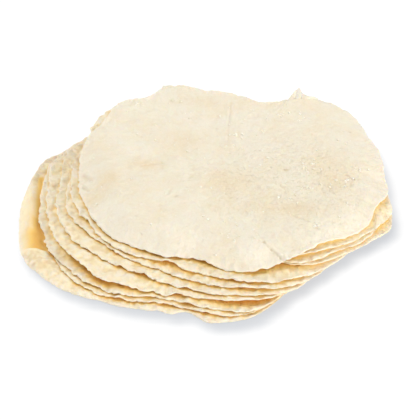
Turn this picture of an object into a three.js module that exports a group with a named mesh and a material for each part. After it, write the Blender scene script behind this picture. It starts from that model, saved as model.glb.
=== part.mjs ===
// A stack of eleven flour tortillas, lying fanned out on a bare surface.
//
// Every tortilla is one thin closed solid: a round sheet of soft dough whose outline
// is a circle with some flats, corners and a ragged ripple in it. A sheet lies on the
// sheets below it. Where it reaches past their rims it sags towards the table, and
// here and there its rim stands clear of the one below.
//
// Units are millimetres and Z is up. The front of the stack is on the -Y side.

import * as THREE from 'three';
import { mergeVertices } from 'three/addons/utils/BufferGeometryUtils.js';

// Driving dimensions of one sheet
const SHEET_THICKNESS = 1.75;
const RIM_THICKNESS = 1.15;
const RIM_TAPER = 10;
const AIR_GAP = 0.6;

// Share of the rim's taper that is taken off the top, the rest is taken off below
const TAPER_ON_TOP = 0.6;

// A sheet sags fully to the next one over this reach past a lower rim. Over the small
// sheets below the top one the dough is softer, and falls over a shorter reach.
const SAG_REACH = 46;
// The sag starts this far outside the smooth outline of the lower sheet
const SAG_START = 1.5;

// Ragged ripple of a rim: lobes round the sheet and the height of each set of lobes
const RIPPLE = [
  { lobes: 9, height: 0.5 },
  { lobes: 14, height: 0.45 },
  { lobes: 23, height: 0.3 },
];

// Soft wave of a rim, which each sheet passes on to all sheets above it
const WAVE_HEIGHT = 0.25;
const WAVE_START = 0.78;
const FEWEST_WAVES = 5;
const SPARE_WAVES = 4;

// Rings of facets on both faces of a sheet, by their depth in from the rim
const RING_DEPTHS = [0, 7, 18, 32];
const RIM_POINTS = 72;
const TOP_RING_DEPTHS = [0, 6, 15, 25, 37];
const TOP_RIM_POINTS = 96;

// Colours of the dough: the top sheet is the palest, the lower rims are warmer
const TOP_COLOUR = new THREE.Color('#efe3c4');
const BOTTOM_COLOUR = new THREE.Color('#ead6a8');
const DOUGH_ROUGHNESS = 0.85;

const DEGREE = Math.PI / 180;
const FULL_TURN = 360;
const FIRST_SEED = 101;
const SEED_STEP = 17;

// The sheets from the table up. Angles are in degrees, counted from +X towards +Y.
// Each bend of an outline is a place where the rim reaches out, or in, by some
// millimetres, fading away over its spread.
const SHEETS = [
  {
    name: 'tortilla_01',
    centre: [-21, 1],
    radius: 98,
    bends: [
      { toward: 153, reach: 3, spread: 6 },
      { toward: 168, reach: 2, spread: 12 },
      { toward: 210, reach: 6.5, spread: 26 },
      { toward: 259, reach: -8, spread: 19 },
      { toward: 293, reach: 11, spread: 17 },
    ],
  },
  {
    name: 'tortilla_02',
    centre: [-11, 2],
    radius: 98,
    bends: [
      { toward: 180, reach: -4, spread: 22 },
      { toward: 228, reach: 3, spread: 14 },
      { toward: 260, reach: -6, spread: 15 },
      { toward: 287, reach: 7, spread: 14 },
    ],
  },
  {
    name: 'tortilla_03',
    centre: [-11, 4],
    radius: 98,
    bends: [
      { toward: 156, reach: 5, spread: 8 },
      { toward: 208, reach: 2, spread: 12 },
      { toward: 231, reach: 3, spread: 8 },
      { toward: 262, reach: -6, spread: 14 },
      { toward: 289, reach: 10, spread: 15 },
    ],
  },
  {
    name: 'tortilla_04',
    centre: [-6, 6],
    radius: 98,
    bends: [
      { toward: 160, reach: 5, spread: 14 },
      { toward: 204, reach: 2, spread: 12 },
      { toward: 231, reach: 1.5, spread: 8 },
      { toward: 263, reach: -5, spread: 11 },
      { toward: 292, reach: 5, spread: 18 },
      { toward: 300, reach: 2.5, spread: 9 },
    ],
  },
  {
    name: 'tortilla_05',
    centre: [2, 11],
    radius: 98,
    bends: [
      { toward: 80, reach: -8, spread: 28 },
      { toward: 162, reach: 5, spread: 10 },
      { toward: 202, reach: 4, spread: 18 },
      { toward: 240, reach: -4.5, spread: 16 },
      { toward: 290, reach: 8, spread: 18 },
      { toward: 297, reach: 3.5, spread: 8 },
    ],
  },
  {
    name: 'tortilla_06',
    centre: [10, 13],
    radius: 98,
    bends: [
      { toward: 80, reach: -12, spread: 28 },
      { toward: 193, reach: 6, spread: 14 },
      { toward: 240, reach: -5.5, spread: 17 },
      { toward: 288, reach: 6, spread: 18 },
      { toward: 297, reach: 3.8, spread: 6 },
    ],
  },
  {
    name: 'tortilla_07',
    centre: [13, 16],
    radius: 98,
    bends: [
      { toward: 80, reach: -19, spread: 28 },
      { toward: 178, reach: 5.5, spread: 24 },
      { toward: 222, reach: 2, spread: 14 },
      { toward: 248, reach: -6.5, spread: 18 },
      { toward: 295, reach: 7, spread: 23 },
    ],
  },
  {
    name: 'tortilla_08',
    centre: [22, 20],
    radius: 96,
    sagReach: 28,
    bends: [
      { toward: 80, reach: -21, spread: 28 },
      { toward: 195, reach: -24, spread: 26 },
      { toward: 253, reach: -32, spread: 26 },
      { toward: 290, reach: 6, spread: 9 },
      { toward: 308, reach: 5, spread: 17 },
      { toward: 330, reach: 6.5, spread: 9 },
      { toward: 2, reach: -4, spread: 16 },
    ],
  },
  {
    name: 'tortilla_09',
    centre: [19, 18],
    radius: 96.5,
    sagReach: 28,
    bends: [
      { toward: 80, reach: -26, spread: 28 },
      { toward: 195, reach: -22, spread: 26 },
      { toward: 253, reach: -32, spread: 26 },
      { toward: 290, reach: 5, spread: 9 },
      { toward: 318, reach: 4, spread: 16 },
      { toward: 6, reach: -4, spread: 18 },
    ],
  },
  {
    name: 'tortilla_10',
    centre: [14, 15],
    radius: 97,
    sagReach: 28,
    bends: [
      { toward: 80, reach: -26, spread: 28 },
      { toward: 147, reach: 10, spread: 15 },
      { toward: 199, reach: -22, spread: 20 },
      { toward: 254, reach: -33, spread: 29 },
      { toward: 302, reach: -1, spread: 10 },
      { toward: 334, reach: 7, spread: 22 },
    ],
  },
  {
    name: 'tortilla_11',
    centre: [13, 14],
    radius: 97,
    bends: [
      { toward: 24, reach: 4, spread: 22 },
      { toward: 47, reach: 11, spread: 14 },
      { toward: 71, reach: -23, spread: 18 },
      { toward: 86, reach: -6.5, spread: 9 },
      { toward: 101, reach: -9.5, spread: 9 },
      { toward: 114, reach: 6.5, spread: 8 },
      { toward: 125, reach: -4.5, spread: 7 },
      { toward: 137, reach: 5, spread: 9 },
      { toward: 172, reach: 2, spread: 16 },
      { toward: 205, reach: -1.5, spread: 16 },
      { toward: 240, reach: -8.5, spread: 12 },
      { toward: 254, reach: -9.5, spread: 9 },
      { toward: 267, reach: -8, spread: 9 },
      { toward: 282, reach: -1.5, spread: 8 },
      { toward: 302, reach: -2.5, spread: 12 },
      { toward: 327, reach: 2.5, spread: 9 },
    ],
    // The small torn tip at the back of the top sheet
    tip: { toward: 60.2, reach: 13, spread: 1, crowding: 0.8, crowdingSpread: 11 },
  },
];

// Places where all sheets from one level up are raised over a share of their radius: a
// rim that stands clear, a curled tip or corner, or a low fold along a rim, which comes
// down again on its outer side. Below zero the rim is pressed down instead.
const LIFTS = [
  { level: 1, toward: 196, spread: 26, height: 3, from: 0.86, to: 0.93, fold: true },
  { level: 1, toward: 153, spread: 7, height: 3.5, from: 0.9, to: 1.03 },
  { level: 4, toward: 226, spread: 24, height: 2.2, from: 0.74, to: 1 },
  { level: 4, toward: 286, spread: 16, height: 1.6, from: 0.76, to: 1 },
  { level: 11, toward: 48, spread: 15, height: 2.6, from: 0.8, to: 1 },
  { level: 11, toward: 60, spread: 2.4, height: 7, from: 1, to: 1.14 },
  { level: 11, toward: 304, spread: 12, height: 1.4, from: 0.8, to: 1 },
  { level: 11, toward: 222, spread: 38, height: -1.3, from: 0.76, to: 1 },
  { level: 11, toward: 272, spread: 12, height: -2, from: 0.84, to: 1 },
];

// Seeded draws between 0 and 1, so that every run gives the same stack: the digits of a
// sine far behind its decimal point
const JUMBLE = 43758.5453;

function seededDraws(seed) {
  let state = seed;
  return () => {
    const jumbled = Math.sin(state) * JUMBLE;
    state += 1;
    return jumbled - Math.floor(jumbled);
  };
}

// Shortest turn from one angle to another, in degrees
function turnBetween(angle, other) {
  const turn = (angle - other) % FULL_TURN;
  return THREE.MathUtils.euclideanModulo(turn + FULL_TURN / 2, FULL_TURN) - FULL_TURN / 2;
}

// 1 at one angle, fading away on both sides of it
function bump(angle, toward, spread) {
  const turn = turnBetween(angle, toward) / spread;
  return Math.exp(-turn * turn);
}

function wavy(lobes, angle, phase) {
  return Math.sin(lobes * angle * DEGREE + phase);
}

// Reach of a sheet's outline without its ragged ripple
function smoothReach(sheet, angle) {
  let reach = sheet.radius;
  for (const bend of sheet.bends) {
    reach += bend.reach * bump(angle, bend.toward, bend.spread);
  }
  return reach;
}

function raggedReach(sheet, angle) {
  let reach = smoothReach(sheet, angle);
  for (const set of sheet.ripple) {
    reach += set.height * wavy(set.lobes, angle, set.phase);
  }
  if (sheet.tip) {
    reach += sheet.tip.reach * bump(angle, sheet.tip.toward, sheet.tip.spread);
  }
  return reach;
}

// Direction and distance of a point in plan, as seen from a sheet's centre
function seenFrom(sheet, x, y) {
  const dx = x - sheet.centre[0];
  const dy = y - sheet.centre[1];
  const angle = Math.atan2(dy, dx) / DEGREE;
  const distance = Math.hypot(dx, dy);
  return { angle, distance, share: distance / smoothReach(sheet, angle) };
}

// How far a sheet still carries the ones above it: all of it inside its outline, and
// less and less outside
function carry(sheet, x, y) {
  const { angle, distance } = seenFrom(sheet, x, y);
  const outside = distance - smoothReach(sheet, angle) - SAG_START;
  return 1 - THREE.MathUtils.smoothstep(outside, 0, sheet.sagReach ?? SAG_REACH);
}

function wave(sheet, x, y) {
  const { angle, share } = seenFrom(sheet, x, y);
  const swell = 0.5 + 0.5 * wavy(sheet.wave.lobes, angle, sheet.wave.phase);
  return WAVE_HEIGHT * swell * THREE.MathUtils.smoothstep(share, WAVE_START, 1);
}

function lift(place, x, y) {
  const { angle, share } = seenFrom(SHEETS[place.level - 1], x, y);
  const side = bump(angle, place.toward, place.spread);
  const rise = THREE.MathUtils.smoothstep(share, place.from, place.to);
  const end = place.to + (place.to - place.from);
  const fall = place.fold ? THREE.MathUtils.smoothstep(share, place.to, end) : 0;
  return place.height * side * (rise - fall);
}

// Height of the underside of a sheet over the table
function underside(sheet, x, y) {
  let height = 0;
  for (const lower of SHEETS.slice(0, sheet.level - 1)) {
    height += (SHEET_THICKNESS + AIR_GAP) * carry(lower, x, y) + wave(lower, x, y);
  }
  for (const place of LIFTS.filter((one) => one.level <= sheet.level)) {
    height += lift(place, x, y);
  }
  return height;
}

// Half the section of a flat sheet: from its axis along the underside to the rim, and
// back along the top. The rim is thinner than the middle.
function section(sheet, ringDepths) {
  const thinned = (depth) =>
    (SHEET_THICKNESS - RIM_THICKNESS) * (1 - THREE.MathUtils.smoothstep(depth, 0, RIM_TAPER));
  const below = ringDepths.map(
    (depth) => new THREE.Vector2(sheet.radius - depth, (1 - TAPER_ON_TOP) * thinned(depth)),
  );
  const above = ringDepths.map(
    (depth) => new THREE.Vector2(sheet.radius - depth, SHEET_THICKNESS - TAPER_ON_TOP * thinned(depth)),
  );
  const axisBelow = new THREE.Vector2(0, 0);
  const axisAbove = new THREE.Vector2(0, SHEET_THICKNESS);
  return [axisBelow, ...below.reverse(), ...above, axisAbove];
}

// The rim points crowd together round a torn tip, so that the tip stays sharp
function crowded(sheet, angle) {
  if (!sheet.tip) {
    return angle;
  }
  const { toward, crowding, crowdingSpread } = sheet.tip;
  return angle - crowding * turnBetween(angle, toward) * bump(angle, toward, crowdingSpread);
}

// A flat round sheet, turned on a lathe, is pulled out to its outline and laid down on
// what is below it
function sheetGeometry(sheet) {
  const ringDepths = sheet.tip ? TOP_RING_DEPTHS : RING_DEPTHS;
  const rimPoints = sheet.tip ? TOP_RIM_POINTS : RIM_POINTS;
  const lathed = new THREE.LatheGeometry(section(sheet, ringDepths), rimPoints);
  lathed.deleteAttribute('normal');
  lathed.deleteAttribute('uv');
  const geometry = mergeVertices(lathed);
  geometry.rotateX(Math.PI / 2);

  const point = new THREE.Vector3();
  const { position } = geometry.attributes;
  for (let index = 0; index < position.count; index += 1) {
    point.fromBufferAttribute(position, index);
    const share = Math.hypot(point.x, point.y) / sheet.radius;
    const angle = crowded(sheet, Math.atan2(point.y, point.x) / DEGREE);
    const reach = share * raggedReach(sheet, angle);
    const x = sheet.centre[0] + reach * Math.cos(angle * DEGREE);
    const y = sheet.centre[1] + reach * Math.sin(angle * DEGREE);
    position.setXYZ(index, x, y, point.z + underside(sheet, x, y));
  }
  return geometry;
}

SHEETS.forEach((sheet, index) => {
  const draw = seededDraws(FIRST_SEED + SEED_STEP * index);
  const drawPhase = () => draw() * 2 * Math.PI;
  sheet.level = index + 1;
  sheet.ripple = RIPPLE.map((set) => ({ ...set, phase: drawPhase() }));
  sheet.wave = { lobes: FEWEST_WAVES + Math.floor(SPARE_WAVES * draw()), phase: drawPhase() };
});

const stack = new THREE.Group();
stack.name = 'tortilla_stack';
for (const sheet of SHEETS) {
  const heightShare = (sheet.level - 1) / (SHEETS.length - 1);
  const dough = new THREE.MeshStandardMaterial({
    color: BOTTOM_COLOUR.clone().lerp(TOP_COLOUR, heightShare),
    roughness: DOUGH_ROUGHNESS,
    metalness: 0,
  });
  const mesh = new THREE.Mesh(sheetGeometry(sheet), dough);
  mesh.name = sheet.name;
  stack.add(mesh);
}

// The origin is the middle of the box round the stack, on the table
const box = new THREE.Box3().setFromObject(stack);
const middle = box.getCenter(new THREE.Vector3());
for (const mesh of stack.children) {
  mesh.geometry.translate(-middle.x, -middle.y, -box.min.z);
  mesh.geometry.computeVertexNormals();
}

export default stack;
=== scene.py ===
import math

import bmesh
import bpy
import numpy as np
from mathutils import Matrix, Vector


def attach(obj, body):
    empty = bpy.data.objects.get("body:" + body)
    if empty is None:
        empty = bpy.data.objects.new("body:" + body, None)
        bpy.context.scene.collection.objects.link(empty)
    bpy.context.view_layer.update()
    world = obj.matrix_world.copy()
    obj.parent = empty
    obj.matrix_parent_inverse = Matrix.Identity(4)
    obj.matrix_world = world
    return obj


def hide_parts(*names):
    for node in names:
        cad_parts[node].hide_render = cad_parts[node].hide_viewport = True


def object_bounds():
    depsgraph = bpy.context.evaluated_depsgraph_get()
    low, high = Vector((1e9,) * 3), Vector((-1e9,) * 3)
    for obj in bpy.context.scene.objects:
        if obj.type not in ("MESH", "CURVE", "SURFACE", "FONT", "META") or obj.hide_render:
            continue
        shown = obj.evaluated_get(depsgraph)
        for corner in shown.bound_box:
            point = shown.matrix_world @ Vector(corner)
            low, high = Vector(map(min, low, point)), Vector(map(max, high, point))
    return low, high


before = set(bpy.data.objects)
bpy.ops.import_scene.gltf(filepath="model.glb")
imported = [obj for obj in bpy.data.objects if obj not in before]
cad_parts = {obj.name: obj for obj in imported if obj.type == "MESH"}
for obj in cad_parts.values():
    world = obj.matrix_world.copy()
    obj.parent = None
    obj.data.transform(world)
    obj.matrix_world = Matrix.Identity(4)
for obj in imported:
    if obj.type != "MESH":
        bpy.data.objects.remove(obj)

# %% [markdown]
# The object is a stack of flour tortillas, fanned out on a table. The frame holds one
# plain solid for each, with its real outline and its sag over the ones below. Those
# solids are coarse, so this script lays a fine sheet of dough through each of them, with
# bubbles, creases and a ragged rim, and sets up the light and the camera. The box of the
# plain solids is kept from the start, because the finished stack has to stay inside it.

MM = 0.001
MERGE = 0.001 * MM
cad_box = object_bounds()
sheet_names = sorted(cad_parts)
lowest, top = sheet_names[0], sheet_names[-1]
print("sheets:", len(sheet_names), "box in mm:", [round((b - a) / MM) for a, b in zip(*cad_box)])

# %% [markdown]
# A Subdivision Surface would pull the thin rims in and put most of its faces where
# nothing happens, so the shape of each solid is read as numbers first. It was turned on
# a lathe and pulled out of round, so its points lie in rings. Walking from the middle
# point to its neighbours, and to theirs, gives one ring after the other.

# %% Reading the rings of a plain solid
def rings_of(node):
    """Rings of points from the middle of the top, over the rim, to that of the underside."""
    bm = bmesh.new()
    bm.from_mesh(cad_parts[node].data)
    bmesh.ops.remove_doubles(bm, verts=bm.verts, dist=MERGE)
    middles = sorted(bm.verts, key=lambda v: len(v.link_edges))[-2:]
    start = max(middles, key=lambda v: v.co.z)
    rings = [[start]]
    seen = {start}
    while rings[-1]:
        ring = {e.other_vert(v) for v in rings[-1] for e in v.link_edges} - seen
        seen |= ring
        around = sorted(ring, key=lambda v: math.atan2(v.co.y - start.co.y, v.co.x - start.co.x))
        rings.append(around)
    points = [np.array([v.co[:] for v in ring]) for ring in rings[:-1]]
    bm.free()
    return points


def polar(middle, x, y):
    """Angle and distance of places on the plan from a middle."""
    dx, dy = x - middle[0], y - middle[1]
    return np.arctan2(dy, dx), np.hypot(dx, dy)


def lie_of(node):
    """A sheet's middle, the angles and reach of its rays, and its height on each ring."""
    rings = rings_of(node)
    middle = 0.5 * (rings[0][0] + rings[-1][0])
    count = len(rings) // 2
    halves = [0.5 * (rings[k] + rings[-1 - k]) for k in range(1, count)]
    views = [polar(middle, half[:, 0], half[:, 1]) for half in halves]
    angle, reach = views[-1]
    shares = [0.0] + [float(np.mean(away / reach)) for _, away in views]
    heights = np.array([np.full(len(reach), middle[2])] + [half[:, 2] for half in halves])
    return {"middle": middle, "angle": angle, "reach": reach, "shares": shares, "heights": heights}


lies = {name: lie_of(name) for name in sheet_names}
for name, lie in lies.items():
    print(name, "rays:", len(lie["reach"]), "rings:", len(lie["shares"]))

# %% [markdown]
# A fine sheet needs its height between the rays and the rings as well. Round the sheet
# a Catmull-Rom curve passes smoothly through every ray. From the middle outwards it
# would swing past the flat part of the dough, so there the slope at each ring is held
# back wherever the rise changes, which keeps flat dough flat.

# %% Values between rays and between rings
def eased(t):
    """Smooth step from 0 to 1, held at both ends."""
    t = np.clip(t, 0, 1)
    return t * t * (3 - 2 * t)


def between_rays(values, places):
    """Values of a closed row at places between rays, by a curve through every ray."""
    count = values.shape[-1]
    whole = np.floor(places).astype(int)
    t = places - whole
    a, b, c, d = (values[..., (whole + k) % count] for k in (-1, 0, 1, 2))
    return b + 0.5 * t * (c - a + t * (2 * a - 5 * b + 4 * c - d + t * (3 * (b - c) + d - a)))


def ring_slopes(shares, heights):
    """Slope of the height at each ring, zero in the middle and where the rise changes sign."""
    rise = np.diff(heights, axis=0) / np.diff(shares)[:, None]
    agree = rise[:-1] * rise[1:] > 0
    total = np.where(agree, rise[:-1] + rise[1:], 1.0)
    slope = np.zeros_like(heights)
    slope[1:-1] = np.where(agree, 2 * rise[:-1] * rise[1:] / total, 0.0)
    slope[-1] = rise[-1]
    return slope


def between_rings(shares, heights, slopes, share, column):
    """Height at a share of the reach in a column, by a curve held between its rings."""
    k = np.clip(np.searchsorted(shares, share, side="right") - 1, 0, len(shares) - 2)
    width = shares[k + 1] - shares[k]
    t = (share - shares[k]) / width
    low, high = heights[k, column], heights[k + 1, column]
    low_slope, high_slope = slopes[k, column] * width, slopes[k + 1, column] * width
    bow = (1 - t) * low_slope * t * (1 - t) - t * high_slope * t * (1 - t)
    return low + (high - low) * t * t * (3 - 2 * t) + bow


print("a curve goes through", len(lies[top]["shares"]), "rings")

# %% [markdown]
# One tortilla is a disc about two millimetres thick with a thinner, rounded rim. Half
# of its section is drawn and spun once round. A spin of a thousand steps takes Blender
# minutes, because each step goes over the whole mesh again, so the section is spun in a
# few wide steps, and every step is then cut into narrow columns. They would crowd
# needle-thin faces round the middle, so every second one is dissolved each time the
# radius halves.

# %% The section of a disc of dough
SPIN_STEPS = 128
CUTS = 7
COLUMNS = SPIN_STEPS * (CUTS + 1)
MIDDLE_THICKNESS = 1.75 * MM
RIM_THICKNESS = 1.15 * MM
RIM_TAPER = 10 * MM
NOSE = 0.7 * MM
NOSE_STEPS = 5


def half_thickness(depth):
    """Half the thickness of the dough at a depth in from its rim."""
    return 0.5 * (RIM_THICKNESS + (MIDDLE_THICKNESS - RIM_THICKNESS) * eased(depth / RIM_TAPER))


def depths_inward(radius, fine_step, fine_width, coarse_step):
    """Depths in from the rim: close rows where the sheet shows, wide ones beyond."""
    fine = np.arange(NOSE, fine_width, fine_step)
    coarse = np.arange(fine_width, radius - 0.5 * coarse_step, coarse_step)
    return np.concatenate([fine, coarse])


def half_section(radius, top_rows, under_rows):
    """Points from the middle of the underside, round the rim, to that of the top."""
    points = [(0.0, -half_thickness(radius))]
    points += [(radius - d, -half_thickness(d)) for d in reversed(under_rows)]
    for step in range(1, 2 * NOSE_STEPS):
        turn = math.pi / 2 * (step / NOSE_STEPS - 1)
        depth = NOSE * (1 - math.cos(turn))
        points.append((radius - depth, half_thickness(depth) * math.sin(turn)))
    points += [(radius - d, half_thickness(d)) for d in top_rows]
    points.append((0.0, half_thickness(radius)))
    return points


print("columns:", COLUMNS, "thickness in mm at the rim:", round(2 * half_thickness(0) / MM, 2))

# %% Spinning the section and cutting its columns
STEP_INWARD = 0.1 * MM


def columns_of(place):
    """Number of the column of each point of a spun disc."""
    turn = np.arctan2(place[:, 1], place[:, 0]) / (2 * math.pi)
    return np.round(turn * COLUMNS).astype(int) % COLUMNS


def runs_inward(edge):
    """True for an edge along a column, false for one round the disc."""
    a, b = (v.co.to_2d().length for v in edge.verts)
    return abs(a - b) > STEP_INWARD


def spun_section(radius, top_rows, under_rows):
    """The section, spun once round in wide steps that are cut into columns."""
    bm = bmesh.new()
    corners = [bm.verts.new((x, 0, z)) for x, z in half_section(radius, top_rows, under_rows)]
    edges = [bm.edges.new(pair) for pair in zip(corners, corners[1:])]
    bmesh.ops.spin(bm, geom=corners + edges, cent=(0, 0, 0), axis=(0, 0, 1), angle=2 * math.pi,
                   steps=SPIN_STEPS, use_merge=True)
    bmesh.ops.remove_doubles(bm, verts=bm.verts, dist=MERGE)
    level = [e for e in bm.edges if abs(e.verts[0].co.z - e.verts[1].co.z) < MERGE]
    around = [e for e in level if not runs_inward(e)]
    bmesh.ops.subdivide_edges(bm, edges=around, cuts=CUTS, use_grid_fill=True)
    bm.verts.index_update()
    return bm


def onto_circle(column):
    """How much each column moves outwards, so that a wide step follows the circle."""
    half_step = math.pi / SPIN_STEPS
    within = (column % (CUTS + 1)) * 2 * math.pi / COLUMNS - half_step
    return np.where(column % (CUTS + 1), np.cos(within) / math.cos(half_step), 1.0)


print("rays of the spun section:", SPIN_STEPS)

# %% Thinning the columns towards the middle
MOST_HALVINGS = 6


def spare_edges(bm, column, distance, radius):
    """Edges along columns that would crowd the middle."""
    spare = []
    for edge in bm.edges:
        a, b = edge.verts[0].index, edge.verts[1].index
        far = a if distance[a] > distance[b] else b
        if abs(distance[a] - distance[b]) < STEP_INWARD or distance[far] > 0.5 * radius:
            continue
        keep_every = 2 ** min(MOST_HALVINGS, int(math.log2(radius / distance[far])))
        if column[far] % keep_every:
            spare.append(edge)
    return spare


def smooth_mesh(bm, name):
    """Mesh of a bmesh, with its faces smooth and turned outwards."""
    bmesh.ops.recalc_face_normals(bm, faces=bm.faces)
    for face in bm.faces:
        face.smooth = True
    mesh = bpy.data.meshes.new(name)
    bm.to_mesh(mesh)
    bm.free()
    return mesh


def turned_disc(name, radius, top_rows, under_rows):
    """Mesh of a flat disc, with columns that thin out towards the middle."""
    bm = spun_section(radius, top_rows, under_rows)
    place = np.array([v.co[:] for v in bm.verts])
    column = columns_of(place)
    to_circle = onto_circle(column)
    for vert, grow in zip(bm.verts, to_circle):
        vert.co.x *= grow
        vert.co.y *= grow
    distance = np.hypot(place[:, 0], place[:, 1]) * to_circle
    spare = spare_edges(bm, column, distance, radius)
    bmesh.ops.dissolve_edges(bm, edges=spare, use_verts=True)
    mesh = smooth_mesh(bm, name)
    print(name, "points:", len(mesh.vertices), "faces:", len(mesh.polygons))
    return mesh


DISC_RADIUS = float(np.mean([lie["reach"].mean() for lie in lies.values()]))
top_disc = turned_disc("top disc", DISC_RADIUS,
                       depths_inward(DISC_RADIUS, 1.05 * MM, DISC_RADIUS - 4 * MM, 8 * MM),
                       depths_inward(DISC_RADIUS, 1.2 * MM, 14 * MM, 14 * MM))
lower_disc = turned_disc("lower disc", DISC_RADIUS,
                         depths_inward(DISC_RADIUS, 0.95 * MM, 36 * MM, 8 * MM),
                         depths_inward(DISC_RADIUS, 1.2 * MM, 12 * MM, 14 * MM))

# %% [markdown]
# Real dough has swellings, dimples and a torn rim that lifts here and there. All of these
# are random heights of different sizes, so one helper makes them: random numbers on a
# square lattice, joined by smooth steps. Every seed turns the lattice by its own angle.

# %% Random swellings
LATTICE = 256
LATTICE_TURN = 0.7


def swelling(x, y, size, seed):
    """Smooth random values from -1 to 1 over the plan, with lumps of about one size."""
    lattice = np.random.default_rng(seed).uniform(-1, 1, (LATTICE, LATTICE))
    turn = LATTICE_TURN + seed
    u = (x * math.cos(turn) + y * math.sin(turn)) / size
    v = (y * math.cos(turn) - x * math.sin(turn)) / size
    iu, iv = np.floor(u).astype(int), np.floor(v).astype(int)
    fu, fv = eased(u - iu), eased(v - iv)
    a = lattice[iu % LATTICE, iv % LATTICE]
    b = lattice[(iu + 1) % LATTICE, iv % LATTICE]
    c = lattice[iu % LATTICE, (iv + 1) % LATTICE]
    d = lattice[(iu + 1) % LATTICE, (iv + 1) % LATTICE]
    return (a * (1 - fu) + b * fu) * (1 - fv) + (c * (1 - fu) + d * fu) * fv


sample = swelling(np.arange(200), np.zeros(200), 8, 1)
print("swellings run from", round(sample.min(), 2), "to", round(sample.max(), 2))

# %% [markdown]
# The top sheet has a long crease near the front, a short one at the right and a few
# wrinkles at the left. Each runs along a line on the plan, so its height only depends on
# how far a point is from that line: a crease is a groove with raised lips, of uneven
# depth, and a swell is a plain rise. A line is given by its two ends, its width and its
# height or depth.

# %% Creases, swells and pits of the top sheet, in millimetres
CREASES = [
    ((32.4, -61.5), (35.1, -62.6), 0.9, 0.45),
    ((35.1, -62.6), (39.4, -67.2), 0.7, 0.8),
    ((39.4, -67.2), (44.6, -71.9), 0.7, 0.95),
    ((44.6, -71.9), (48.6, -75.8), 0.7, 0.9),
    ((17.8, 80), (16.1, 54.9), 1, 0.24),
    ((16.1, 54.9), (14.5, 32.6), 1, 0.2),
    ((89.4, 1.3), (93.4, -3.2), 0.8, 0.5),
    ((93.4, -3.2), (90.8, -11), 0.8, 0.5),
    ((53.1, -38.1), (62.4, -44.2), 0.8, 0.4),
    ((-60.7, 41.2), (-52.8, 46.9), 0.8, 0.3),
    ((-43.8, 67.3), (-37.2, 70.7), 0.8, 0.3),
    ((-40.6, 10.3), (-26.6, 13.8), 0.8, 0.3),
    ((-22.6, -17.9), (-20.2, -12.2), 0.8, 0.4),
    ((-77.3, 9), (-71.6, 2.2), 1.6, 0.5),
    ((-77.2, -1.4), (-73.5, -6), 1.2, 0.6),
    ((66.2, -14.9), (62, -11.9), 0.8, 0.35),
    ((-51.6, 75.7), (-48.5, 81.7), 0.8, 0.3),
]
SWELLS = [
    ((-32, -2), (-11.4, 20.5), 4, 0.4),
    ((-62, 44), (-40, 56), 4.5, 0.3),
    ((-50, 30), (-30, 34), 4, 0.3),
]
PITS = [(51.7, 6.5), (67.4, -50.0), (-17.6, -19.6), (56.0, -18.8), (96.6, 50.3), (-22.6, 83.0)]
print("creases:", len(CREASES), "swells:", len(SWELLS), "pits:", len(PITS))

# %% Heights along a line
CREASE_PIECE = 2.6
CREASE_SEED = 5
EVEN_DEPTH = 0.8
UNEVEN_DEPTH = 0.2
LIP_HEIGHT = 0.4
PIT_RADIUS = 1.0
PIT_DEPTH = 0.7


def from_line(x, y, start, end):
    """Distance of places on the plan from a line."""
    along = np.array(end) - np.array(start)
    t = np.clip(((x - start[0]) * along[0] + (y - start[1]) * along[1]) / (along @ along), 0, 1)
    return np.hypot(x - start[0] - t * along[0], y - start[1] - t * along[1])


def crease(x, y, start, end, width, depth):
    """Height of a groove with raised lips along a line; all in millimetres."""
    away = from_line(x, y, start, end)
    groove = np.exp(-(away / width) ** 2)
    lips = np.exp(-((away - 2 * width) / width) ** 2)
    uneven = EVEN_DEPTH + UNEVEN_DEPTH * swelling(x, y, CREASE_PIECE, CREASE_SEED)
    return depth * uneven * (LIP_HEIGHT * lips - groove)


def ridge(x, y, start, end, width, height):
    """Height of a swelling along a line; all in millimetres."""
    return height * np.exp(-(from_line(x, y, start, end) / width) ** 2)


def top_marks(x, y):
    """Height of the marks of the top sheet."""
    pits = sum(np.exp(-((x - px) ** 2 + (y - py) ** 2) / PIT_RADIUS ** 2) for px, py in PITS)
    swells = sum(ridge(x, y, *line) for line in SWELLS)
    return sum(crease(x, y, *line) for line in CREASES) + swells - PIT_DEPTH * pits


front_crease = top_marks(*np.array(CREASES[2][:2]).T)
print("depth of the front crease in mm:", (-front_crease).round(2))

# %% [markdown]
# The lowest sheet is folded up along its left side, and bubbly in front of that. The
# fold is a row of ridges. The bubbles are small round swellings, at random places that
# lie close together, and where two of them meet the higher one counts.

# %% Folds and bubbles of the lowest sheet, in millimetres
RIDGES = [
    ((-114, 26), (-112.5, 2), 3, 1.4),
    ((-112.5, 2), (-109.5, -27), 3, 1.8),
    ((-108.5, -47.5), (-98, -48.5), 2.2, 1.9),
    ((-106, -52), (-97, -58), 5.5, 1.5),
    ((-105, 40), (-104, 38), 2.8, 1.6),
]
BUBBLY_PLACE = (-100.0, -55.5)
BUBBLY_SPREAD = (4.5, 4.0)
BUBBLES = 34
BUBBLE_SEED = 3
BUBBLE_RADIUS = 1.2
BUBBLE_HEIGHT = 0.9
bubble_places = np.random.default_rng(BUBBLE_SEED).normal(BUBBLY_PLACE, BUBBLY_SPREAD, (BUBBLES, 2))


def bubbly(x, y):
    """Height of the bubbles of the lowest sheet."""
    tops = [np.exp(-((x - bx) ** 2 + (y - by) ** 2) / BUBBLE_RADIUS ** 2) for bx, by in bubble_places]
    return BUBBLE_HEIGHT * np.max(tops, axis=0)


def bubbly_share(x, y):
    """How far places lie in the bubbly part of the lowest sheet, from 0 to 1."""
    dx, dy = x - BUBBLY_PLACE[0], y - BUBBLY_PLACE[1]
    return np.exp(-((dx / (2 * BUBBLY_SPREAD[0])) ** 2 + (dy / (2 * BUBBLY_SPREAD[1])) ** 2))


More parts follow.
